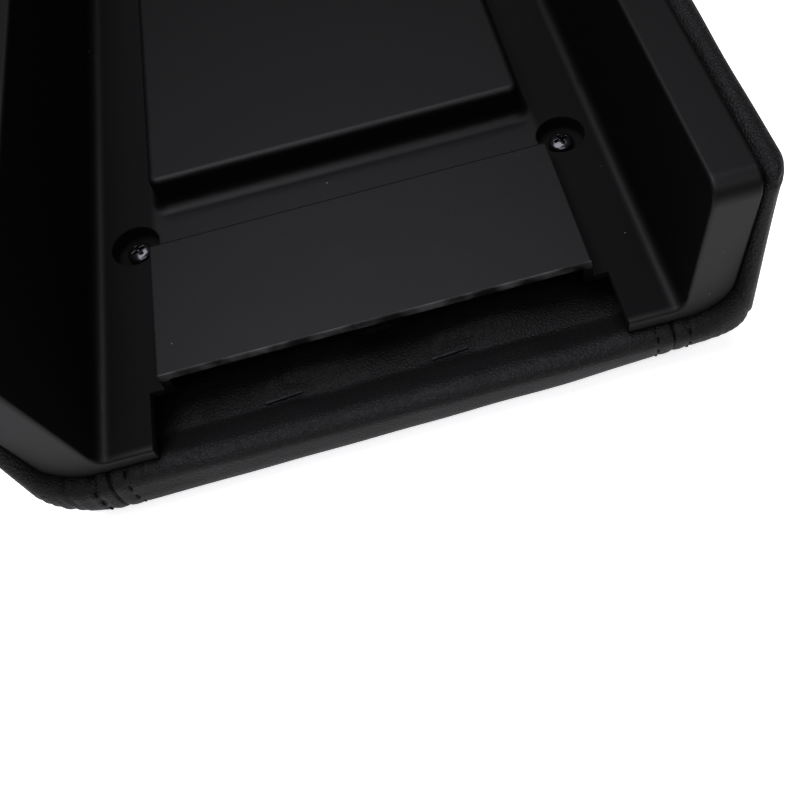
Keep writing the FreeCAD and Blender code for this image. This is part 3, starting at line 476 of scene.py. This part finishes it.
def side_surface(seam):
    """One side of the cover as a grid: each level of the section is carried from the front seam round
    the front corner, along the side, round the hinge end to the liner's outline, and back inside. On
    the rim's round each run moves by drawn_in along its inward direction."""
    outer, normal, gate, drawn_in, share = (a[:, None] for a in side_sections(seam))
    outer_x, outer_z = outer[..., 0], outer[..., 1]
    normal_x, normal_z = normal[..., 0], normal[..., 1]
    gate_x, gate_z = gate[..., 0], gate[..., 1]
    centre_x, centre_z = outer_x - END_RADIUS * normal_x, outer_z - END_RADIUS * normal_z
    front_y = COVER_FRONT - END_RADIUS
    in_strip = share < 1

    face = spread(0, 1, FRONT_COLUMNS)[None, :] ** 1.7
    face_run = (seam + (centre_x - seam) * face, COVER_FRONT + 0 * centre_x * face, centre_z + 0 * face)
    corner = np.radians(spread(90, 0, CORNER_COLUMNS))[None, :] * share
    to_seam = np.where(in_strip, np.sin(corner) / np.maximum(np.sin(np.pi / 2 * share), 1e-6), 0.0)
    corner_x = centre_x + END_RADIUS * np.cos(corner) * normal_x
    corner_run = (corner_x + (seam - corner_x) * to_seam, front_y + END_RADIUS * np.sin(corner),
                  centre_z + END_RADIUS * np.cos(corner) * normal_z)
    face_run = tuple(np.where(in_strip, c[:, :1], a) for c, a in zip(corner_run, face_run))

    rear_y = REAR_CENTRE + REAR_LEAN * (outer_z - END_RADIUS)
    length = spread(0, 1, LENGTH_COLUMNS)[None, :]
    length_run = (outer_x + 0 * length, front_y + (rear_y - front_y) * length, outer_z + 0 * length)
    wrap_run, inner_start = hinge_end(outer_x, outer_z, gate_x, gate_z, share)
    wrap_x, wrap_y, _ = wrap_run
    ridge_end = wrap_y.min(1, keepdims=True) + RIM_HALF

    keep = 0.015 + 0.985 * step(gate_z, RIM_SPRING - 8, RIM_SPRING - 3)
    at_rim = keep > 0.99
    inside = keep * np.r_[spread(0, 0.02, 4), spread(0.02, 1, 50)][None, :]
    inside_y = inner_start + (front_y - inner_start) * inside
    inner_end = inner_start + (front_y - inner_start) * keep
    inner_radius = END_RADIUS - RIM_WIDTH
    tail = np.radians(spread(0, 90, 8))[None, :] * at_rim
    tail_run = (gate_x - inner_radius + inner_radius * np.cos(tail), inner_end + inner_radius * np.sin(tail),
                gate_z + 0 * tail)
    last = np.linspace(0, 1, 8)[None, :] * at_rim
    last_x = gate_x - inner_radius * at_rim
    last_run = (last_x + (seam - last_x) * last, inner_end + inner_radius * at_rim + 0 * last,
                gate_z + 0 * last)

    runs = (
        (face_run, (0 * face, 0 * face - 1)),
        (corner_run, (-np.cos(corner), -np.sin(corner))),
        (length_run, (0 * length - 1, 0 * length)),
        (wrap_run,
         (((outer_x + gate_x) / 2 - wrap_x) / RIM_HALF, np.maximum(ridge_end - wrap_y, 0) / RIM_HALF)),
        ((gate_x + 0 * inside, inside_y, gate_z + 0 * inside),
         (0 * inside + 1, np.maximum(ridge_end - inside_y, 0) / RIM_HALF)),
        (tail_run, (np.cos(tail), np.sin(tail))),
        (last_run, (0 * last, 0 * last + 1)))
    columns = []
    for run, inward in runs:
        shape = (len(outer_x), np.broadcast_shapes(*(a.shape for a in run))[1])
        x, y, z, inward_x, inward_y = (np.broadcast_to(a, shape) for a in (*run, *inward))
        columns.append(np.stack([x + inward_x * drawn_in, y + inward_y * drawn_in, z], 2))
    return np.concatenate(columns, 1)


def side_dents(grid, seam, wave_seed, gather_seed, gather_size, fold_angle):
    """Where the side leather is pulled in or stands out: the seam, long soft waves, small gathers round
    the lower rear corner, a crease at the rim's rear end, and one fold at an angle of the lower turn."""
    x, y, z = np.moveaxis(grid, 2, 0)
    along = np.cumsum(np.r_[np.zeros((1, grid.shape[1])), np.linalg.norm(np.diff(grid, axis=0), axis=2)], 0)
    run = np.cumsum(np.c_[np.zeros(len(grid)), np.linalg.norm(np.diff(grid, axis=1), axis=2)], 1)
    outside = step(np.abs(x), 80, 92) * step(y, LINER_REAR + 6, LINER_REAR + 16)
    dents = seam_dents(x - seam, run)
    dents = dents + 0.16 * outside * waves(wave_seed, y, z * 2.0, 7, (30, 90), 0.9)
    at_end = step(-y, -LINER_REAR - 9, -LINER_REAR - 1)
    gather = hill(z, 15.0, 7.0) * hill(x, 90.0, 9.0) * at_end
    dents = dents + gather_size * gather * waves(gather_seed, along, y * 0.3, 5, (2.2, 4.4), 0.35)
    dents = dents - 0.42 * hill(z, COVER_TOP - 2.7, 0.6) * at_end
    dents = dents + 0.15 * hill(z, COVER_TOP - 4.4, 1.2) * at_end
    level = np.arange(len(grid))[:, None]
    fold = STRIP_LEVELS + TURN_LEVELS * fold_angle / (90 - math.degrees(SIDE_LEAN))
    dents = dents - 0.32 * hill(level, fold, 1.2) * at_end + 0.14 * hill(level, fold + 2.6, 1.6) * at_end
    return dents * (1 - step(z, COVER_TOP - 1.6, COVER_TOP - 0.2))


SIDES = (("right", SEAM_RIGHT, 1, (21, 31, 0.09, 72.0)), ("left", -SEAM_LEFT, -1, (22, 33, 0.20, 40.0)))
NORMAL_REACH = 8
ROW_START = FRONT_COLUMNS + CORNER_COLUMNS
ROW_END = ROW_START + LENGTH_COLUMNS + BEND_COLUMNS + FLAT_COLUMNS + TURN_IN_COLUMNS + 1
stitch_rows = []
for side, seam, sign, creases in SIDES:
    surface = side_surface(seam)
    side_in = side_dents(surface, seam, *creases)
    raised = drawn_under(surface - grid_normals(surface, NORMAL_REACH) * side_in[..., None], sign)
    off_row = np.abs(raised[:, :, 0] - seam - STITCH_OFFSET)
    row_points = raised[off_row.argmin(0), np.arange(raised.shape[1])]
    stitch_rows.append(row_points[ROW_START:ROW_END] * np.array([sign, 1, 1]))
    raised[..., 0] *= sign
    side_faces = grid_faces(*raised.shape[:2])
    if sign > 0:
        side_faces = side_faces[:, ::-1]
    panel = new_piece("leather_side_" + side, raised, side_faces, leather_finish, "lid")
    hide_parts("cover_side_" + side)

# Seam thread: black bonded thread that sews the three panels together.
# It stands in a row of short stitches on each side of both seams, pulled into the leather.
STITCH_LENGTH, THREAD_RADIUS = 3.0, 0.33
STITCH_ARCH, STITCH_SINK = 0.40, 0.30
STITCH_RINGS, STITCH_SIDES = 9, 9
BENCH_PRESS = -0.1
THREAD_BLACK = (0.003, 0.003, 0.0034)
thread_finish, thread_tree, thread_shader = new_finish("black_bonded_thread", THREAD_BLACK, 0.6, 0.2)
thread_twist = add_node(thread_tree, "ShaderNodeTexWave", [("Vector", place_on(thread_tree))], Scale=1400.0,
                        bands_direction="DIAGONAL")
add_bump(thread_tree, thread_shader, thread_twist.outputs["Fac"], 0.08, 0.6)


def stitches(points):
    """Short arched threads along a line of points: each is a tube round a piece of the line, its ends
    sunk and its middle lifted, and its radius falling to nothing at both ends. The bench presses the
    lowest ones flat."""
    gap = np.linalg.norm(np.diff(points, axis=0), axis=1)
    points = points[np.r_[True, gap > 1e-4]]
    run = run_along(points)
    starts = np.arange(1.0, run[-1] - STITCH_LENGTH, STITCH_PITCH)
    share = np.linspace(0, 1, STITCH_RINGS)
    at = starts[:, None] + share[None, :] * STITCH_LENGTH
    centre = np.stack([np.interp(at, run, points[:, k]) for k in range(3)], 2)
    ahead = np.stack([np.interp(at + 0.2, run, points[:, k]) for k in range(3)], 2) - centre
    ahead /= np.maximum(np.linalg.norm(ahead, axis=2, keepdims=True), 1e-9)
    across = np.zeros_like(ahead)
    across[..., 0] = 1.0
    lift = np.cross(across, ahead)
    lift /= np.maximum(np.linalg.norm(lift, axis=2, keepdims=True), 1e-9)
    height = STITCH_ARCH * np.sin(math.pi * share)[None, :, None] - STITCH_SINK
    radius = THREAD_RADIUS * np.sqrt(np.clip(1 - (2 * share - 1) ** 4, 0, 1))[None, :, None, None]
    angle = np.linspace(0, 2 * math.pi, STITCH_SIDES)[None, None, :, None]
    tube = (centre + lift * height)[:, :, None, :] + radius * (
        np.cos(angle) * across[:, :, None, :] + np.sin(angle) * lift[:, :, None, :])
    tube[..., 2] = np.maximum(tube[..., 2], BENCH_PRESS)
    first = np.arange(len(starts))[:, None, None] * STITCH_RINGS * STITCH_SIDES
    faces = first + grid_faces(STITCH_RINGS, STITCH_SIDES)[None]
    return tube.reshape(-1, 3), faces.reshape(-1, 4)


def joined(shapes):
    """One list of points and one of faces, from several pairs of them."""
    points, faces, count = [], [], 0
    for shape_points, shape_faces in shapes:
        points.append(shape_points)
        faces.append(shape_faces + count)
        count += len(shape_points)
    return np.concatenate(points), np.concatenate(faces)


ROW_TAIL = FLAP_POINTS + 21
top_rows = [top_grid[RIM_POINTS:-ROW_TAIL, np.abs(top_columns - row_x).argmin()]
            for row_x in (SEAM_LEFT + STITCH_OFFSET, SEAM_RIGHT - STITCH_OFFSET)]
front_rows = [np.insert(front_path[RIM_POINTS:], 0, row_x, axis=1)
              for row_x in (SEAM_RIGHT + STITCH_OFFSET, SEAM_LEFT - STITCH_OFFSET)]
thread_points, thread_faces = joined([stitches(row) for row in top_rows + stitch_rows + front_rows])
new_piece("seam_thread", thread_points, thread_faces, thread_finish, "lid")

# Staples: flat crowns of galvanised wire, dulled and dark.
# They are driven through the tucked leather into the core.
STAPLE_GREY = (0.10, 0.10, 0.11)
STAPLE_DULL, STAPLE_BRIGHT = (0.02, 0.02, 0.022, 1), (0.16, 0.16, 0.17, 1)
staple_finish, staple_tree, staple_shader = new_finish("staple_wire", STAPLE_GREY, 0.38, 0.5, 0.9)
staple_wear = add_noise(staple_tree, place_on(staple_tree), 700.0, 3.0)
staple_tint = add_node(staple_tree, "ShaderNodeValToRGB", [("Fac", staple_wear)])
staple_tint.color_ramp.elements[0].color = STAPLE_DULL
staple_tint.color_ramp.elements[1].color = STAPLE_BRIGHT
staple_tree.links.new(staple_tint.outputs["Color"], staple_shader.inputs["Base Color"])
coat_node("staples", staple_finish)

# Liner: one black moulding with a fine spark-eroded grain, screwed down over the edge of the leather.
# The floor beside the plateau is duller than the rest, a thin, uneven painted highlight is laid pale
# along the bridge's rear edge for the light that the edge catches, and a few specks of dust lie about.
LINER_BLACK, DUST_GREY, HIGHLIGHT_GREY = (0.006, 0.006, 0.0066), (0.22, 0.22, 0.22), (0.12, 0.12, 0.122)
MIX_FIRST, MIX_SECOND, MIX_COLOUR = 6, 7, 2


def reckon(tree, operation, *entries):
    """The result of one operation on sockets and plain numbers."""
    node = add_node(tree, "ShaderNodeMath", operation=operation)
    for number, entry in enumerate(entries):
        if isinstance(entry, bpy.types.NodeSocket):
            tree.links.new(entry, node.inputs[number])
        else:
            node.inputs[number].default_value = entry
    return node.outputs[0]


def product(tree, sockets):
    """All the sockets multiplied."""
    result = sockets[0]
    for socket in sockets[1:]:
        result = reckon(tree, "MULTIPLY", result, socket)
    return result


def between_mm(tree, socket, start, end):
    """Goes smoothly from 0 at start to 1 at end, in millimetres."""
    return map_range(tree, socket, start * MM, end * MM, shape="SMOOTHSTEP")


liner_finish, liner_tree, liner_shader = new_finish("fine_grained_moulding", LINER_BLACK, 0.5, 0.42)
liner_place = place_on(liner_tree)
liner_axes = add_node(liner_tree, "ShaderNodeSeparateXYZ", [("Vector", liner_place)]).outputs
liner_aside = reckon(liner_tree, "ABSOLUTE", liner_axes["X"])

liner_grain = add_noise(liner_tree, liner_place, 2600.0, 4.0, 0.7)
liner_pits = add_node(liner_tree, "ShaderNodeTexVoronoi", [("Vector", liner_place)], Scale=1900.0)
liner_edges = add_node(liner_tree, "ShaderNodeBevel", Radius=0.8 * MM, samples=6)
liner_under = add_bump(liner_tree, liner_shader, liner_pits.outputs["Distance"], 0.05, 0.25, liner_edges)
add_bump(liner_tree, liner_shader, liner_grain, 0.05, 0.5, liner_under)

STRIP_INNER, STRIP_OUTER, STRIP_FADE = 59.5, 78.0, 2.5
STRIP_LOW, STRIP_HIGH, STRIP_DULL = 27.0, 34.0, 0.38
liner_patch = add_noise(liner_tree, liner_place, 18.0, 5.0)
liner_gloss = map_range(liner_tree, liner_patch, 0.0, 1.0, 0.46, 0.56)
liner_matte = product(liner_tree, (
    between_mm(liner_tree, liner_aside, STRIP_INNER, STRIP_INNER + STRIP_FADE),
    between_mm(liner_tree, liner_axes["Z"], STRIP_HIGH, STRIP_LOW),
    between_mm(liner_tree, liner_aside, STRIP_OUTER, STRIP_OUTER - STRIP_FADE),
    between_mm(liner_tree, liner_axes["Y"], LINER_REAR + 0.8, LINER_REAR + 2.6)))
liner_rough = reckon(liner_tree, "MULTIPLY_ADD", liner_matte, STRIP_DULL, liner_gloss)
liner_tree.links.new(liner_rough, liner_shader.inputs["Roughness"])

DUST_CORE, DUST_EDGE = 0.012, 0.030
liner_specks = add_node(liner_tree, "ShaderNodeTexVoronoi", [("Vector", liner_place)], Scale=85.0)
liner_dust = map_range(liner_tree, liner_specks.outputs["Distance"], DUST_CORE, DUST_EDGE, 1.0, 0.0)
liner_tint = add_node(liner_tree, "ShaderNodeMix", [("Factor", liner_dust)], data_type="RGBA")
liner_tint.inputs[MIX_FIRST].default_value = (*LINER_BLACK, 1)
liner_tint.inputs[MIX_SECOND].default_value = (*DUST_GREY, 1)

# Painted highlight: a pale, ragged line of base colour along the bridge's rear edge stands in for the light
# caught by the rounded edge.
BRIDGE_REAR, BRIDGE_UNDER, BRIDGE_HALF, HIGHLIGHT_WIDTH = LINER_REAR + 18.0, 27.6, 60.6, 0.5
liner_past = reckon(liner_tree, "SUBTRACT", liner_axes["Y"], BRIDGE_REAR * MM)
liner_highlight_breaks = add_noise(liner_tree, liner_place, 110.0, 4.0)
liner_edge_highlight = product(liner_tree, (
    map_range(liner_tree, liner_highlight_breaks, 0.42, 0.68),
    between_mm(liner_tree, reckon(liner_tree, "ABSOLUTE", liner_past), HIGHLIGHT_WIDTH, HIGHLIGHT_WIDTH / 2),
    reckon(liner_tree, "GREATER_THAN", liner_axes["Z"], BRIDGE_UNDER * MM),
    reckon(liner_tree, "LESS_THAN", liner_aside, BRIDGE_HALF * MM)))
liner_highlighted = add_node(liner_tree, "ShaderNodeMix", [("Factor", liner_edge_highlight)], data_type="RGBA")
liner_tree.links.new(liner_tint.outputs[MIX_COLOUR], liner_highlighted.inputs[MIX_FIRST])
liner_highlighted.inputs[MIX_SECOND].default_value = (*HIGHLIGHT_GREY, 1)
liner_tree.links.new(liner_highlighted.outputs[MIX_COLOUR], liner_shader.inputs["Base Color"])
coat_node("liner", liner_finish)

# Liner screws: four pan-head steel screws with a cross recess, blackened.
# Each is seated in a well of the liner and driven into a boss of the core.
screw_low, screw_high = box_mm("liner_screws")
HEAD_RADIUS, HEAD_HEIGHT, HEAD_RIM = 3.85, 2.7, 0.42
SHANK_RADIUS, SHANK_END, POINT_RADIUS, POINT_END = 1.95, -6.9, 0.5, -9.4
RECESS_REACH, RECESS_HALF, RECESS_DEPTH, RECESS_TAPER = 2.25, 0.48, 1.5, 0.75
HEAD_LEVEL = screw_high[2] - HEAD_HEIGHT
HEAD_RINGS, SCREW_SIDES = 40, 97
SCREW_TURNS = (0.5, 0.25, 1.1, 0.7)
SCREW_BLACK = (0.085, 0.085, 0.09)
screw_finish, screw_tree, screw_shader = new_finish("blackened_steel", SCREW_BLACK, 0.24, 0.5, 0.85)
screw_wear = add_noise(screw_tree, place_on(screw_tree), 1200.0, 3.0)
screw_gloss = map_range(screw_tree, screw_wear, 0.0, 1.0, 0.12, 0.30)
screw_tree.links.new(screw_gloss, screw_shader.inputs["Roughness"])


def pan_head_screw(turn):
    """A screw turned about its axis: a profile of radius and height carried round a circle, with the
    head's top lowered where a cross of two tapering slots is."""
    dome_r = HEAD_RADIUS * np.sin(np.linspace(0, 1, HEAD_RINGS) * math.pi / 2) ** 0.9
    dome = np.sqrt(np.clip(1 - (dome_r / HEAD_RADIUS) ** 2.6, 0, 1))
    dome_z = HEAD_HEIGHT * (HEAD_RIM + (1 - HEAD_RIM) * dome)
    below = np.array([(HEAD_RADIUS, 0.25), (HEAD_RADIUS - 0.2, 0.02), (SHANK_RADIUS, 0.0),
                      (SHANK_RADIUS, SHANK_END), (POINT_RADIUS, POINT_END), (0.0, POINT_END - 0.1)])
    radius, height = np.r_[dome_r, below[:, 0]], np.r_[dome_z, below[:, 1]]
    angle = np.linspace(0, 2 * math.pi, SCREW_SIDES)
    x, y = np.outer(radius, np.cos(angle)), np.outer(radius, np.sin(angle))
    u, v = x * math.cos(turn) + y * math.sin(turn), y * math.cos(turn) - x * math.sin(turn)
    width, reach = np.minimum(np.abs(u), np.abs(v)), np.maximum(np.abs(u), np.abs(v))
    slot = 1 - step(width, RECESS_HALF - 0.12, RECESS_HALF + 0.06)
    slot = slot * (1 - step(reach, RECESS_REACH - RECESS_TAPER, RECESS_REACH))
    is_top = (np.arange(len(radius)) < HEAD_RINGS)[:, None]
    z = np.repeat(height[:, None], len(angle), 1) - RECESS_DEPTH * slot * is_top
    return np.stack([x, y, z], 2)


screw_places = [(x, y) for y in (screw_low[1] + HEAD_RADIUS, screw_high[1] - HEAD_RADIUS)
                for x in (screw_low[0] + HEAD_RADIUS, screw_high[0] - HEAD_RADIUS)]
screw_shapes = []
for (x, y), turn in zip(screw_places, SCREW_TURNS):
    shape = pan_head_screw(turn) + np.array([x, y, HEAD_LEVEL])
    screw_shapes.append((shape.reshape(-1, 3), grid_faces(*shape.shape[:2])))
screw_points, screw_faces = joined(screw_shapes)
screws = new_piece("pan_head_screws", screw_points, screw_faces[:, ::-1], screw_finish, "lid")
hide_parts("liner_screws")

# Push latch: a button and its hook in one satin black moulding, and a bezel of the same plastic.
# The bezel snaps into the front of the lid, and the button slides in it.
LATCH_BLACK = (0.012, 0.012, 0.013)
latch_finish, latch_tree, latch_shader = new_finish("satin_moulding", LATCH_BLACK, 0.38, 0.4)
latch_grain = add_noise(latch_tree, place_on(latch_tree), 2200.0, 3.0)
add_bump(latch_tree, latch_shader, latch_grain, 0.03, 0.3)
coat_node("latch_bezel", latch_finish)
coat_node("latch_slider", latch_finish)

# Return spring: a coil of drawn steel wire behind the button.
# It stands on a spigot of the liner's front wall and pushes the slider out.
spring_low, spring_high = box_mm("latch_spring")
SPRING_TURNS, SPRING_WIRE = 5.0, 0.4
SPRING_STEPS, WIRE_SIDES = 180, 9
SPRING_STEEL = (0.45, 0.45, 0.46)
spring_finish, spring_tree, spring_shader = new_finish("drawn_spring_wire", SPRING_STEEL, 0.3, 0.5, 1.0)
spring_draw = add_noise(spring_tree, place_on(spring_tree), 3000.0)
add_bump(spring_tree, spring_shader, spring_draw, 0.02, 0.3)
coil = np.linspace(0, 2 * math.pi * SPRING_TURNS, SPRING_STEPS)[:, None]
coil_radius = (spring_high[0] - spring_low[0]) / 2 - SPRING_WIRE
coil_y = spring_low[1] + SPRING_WIRE + (spring_high[1] - spring_low[1] - 2 * SPRING_WIRE) * coil / coil[-1]
around = np.linspace(0, 2 * math.pi, WIRE_SIDES)[None, :]
coil_reach = coil_radius + SPRING_WIRE * np.cos(around)
coil_grid = np.stack([coil_reach * np.cos(coil), coil_y + SPRING_WIRE * np.sin(around),
                      LATCH_LEVEL + coil_reach * np.sin(coil)], 2)
coil_faces = grid_faces(*coil_grid.shape[:2])
spring = new_piece("return_spring", coil_grid, coil_faces, spring_finish, "lid")
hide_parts("latch_spring")
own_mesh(spring)

# Studio: a white floor that glows a little, a large soft light from above and a smaller one from the
# hinge end, and a camera over the hinge end.
FLOOR_SIZE, FLOOR_LEVEL, FLOOR_GLOW = 12.0, -0.0002, 0.45
FLOOR_WHITE = (0.93, 0.93, 0.93)
LAMP_COLOUR = (0.96, 0.955, 1.0)
WORLD_LIGHT, WORLD_SEEN = 0.08, 0.575
floor_corners = [(x * FLOOR_SIZE, y * FLOOR_SIZE, FLOOR_LEVEL)
                 for x, y in ((-1, -1), (1, -1), (1, 1), (-1, 1))]
floor_mesh = bpy.data.meshes.new("studio_floor")
floor_mesh.from_pydata(floor_corners, [], [(0, 1, 2, 3)])
floor_finish, _, floor_shader = new_finish("white_floor", FLOOR_WHITE, 0.9, 0.1)
floor_shader.inputs["Emission Color"].default_value = (1.0, 1.0, 1.0, 1.0)
floor_shader.inputs["Emission Strength"].default_value = FLOOR_GLOW
floor_mesh.materials.append(floor_finish)
floor = bpy.data.objects.new("studio_floor", floor_mesh)
bpy.context.scene.collection.objects.link(floor)


def soft_light(name, place, target, width, height, watts):
    """A rectangular lamp at a place, turned towards a target."""
    lamp = bpy.data.lights.new(name, "AREA")
    lamp.shape = "RECTANGLE"
    lamp.size, lamp.size_y, lamp.energy = width, height, watts
    lamp.color = LAMP_COLOUR
    holder = bpy.data.objects.new(name, lamp)
    aim = np.array(target) - np.array(place)
    holder.location = place
    holder.rotation_euler = Vector(aim).to_track_quat("-Z", "Y").to_euler()
    bpy.context.scene.collection.objects.link(holder)


soft_light("key_light", (-0.20, 0.14, 1.25), (0.0, -0.05, 0.0), 1.4, 0.9, 12.5)
soft_light("fill_light", (0.12, -0.80, 1.10), (0.0, -0.10, 0.0), 1.3, 0.4, 4.0)
world = bpy.data.worlds.new("studio")
world.use_nodes = True
world_tree = world.node_tree
world_path = add_node(world_tree, "ShaderNodeLightPath")
world_glow = map_range(world_tree, world_path.outputs["Is Camera Ray"], 0.0, 1.0, WORLD_LIGHT, WORLD_SEEN)
world_tree.links.new(world_glow, world_tree.nodes["Background"].inputs["Strength"])
world_tree.nodes["Background"].inputs["Color"].default_value = (1.0, 1.0, 1.0, 1.0)
bpy.context.scene.world = world
bpy.context.scene.view_settings.view_transform = "Standard"
bpy.context.scene.view_settings.look = "High Contrast"

# The camera's turn and place come from a fit to the liner's edges, measured from a point at its rear end.
IMAGE_SIZE, SENSOR_WIDTH = 800.0, 36.0
FOCAL_PIXELS, AXIS_PIXEL = 875.24, (470.0, 380.0)
TURN = np.array([2.58555, -0.34369, -0.07584])
SET_BACK = np.array([-20.49918, 1.86743, 229.99832])
FIT_POINT = np.array([0.0, LINER_REAR, 24.0])
turn_angle = np.linalg.norm(TURN)
camera_turn = np.array(Matrix.Rotation(turn_angle, 3, Vector(TURN / turn_angle)))
camera = bpy.data.cameras.new("camera")
camera.sensor_width = SENSOR_WIDTH
camera.lens = FOCAL_PIXELS / IMAGE_SIZE * camera.sensor_width
camera.shift_x = (IMAGE_SIZE / 2 - AXIS_PIXEL[0]) / IMAGE_SIZE
camera.shift_y = (AXIS_PIXEL[1] - IMAGE_SIZE / 2) / IMAGE_SIZE
camera.clip_start = 0.01
camera_holder = bpy.data.objects.new("camera", camera)
axes = np.eye(4)
axes[:3, :3] = np.stack([camera_turn[0], -camera_turn[1], -camera_turn[2]], 1)
axes[:3, 3] = (-camera_turn.T @ SET_BACK + FIT_POINT) * MM
camera_holder.matrix_world = Matrix(axes.tolist())
bpy.context.scene.collection.objects.link(camera_holder)
bpy.context.scene.camera = camera_holder
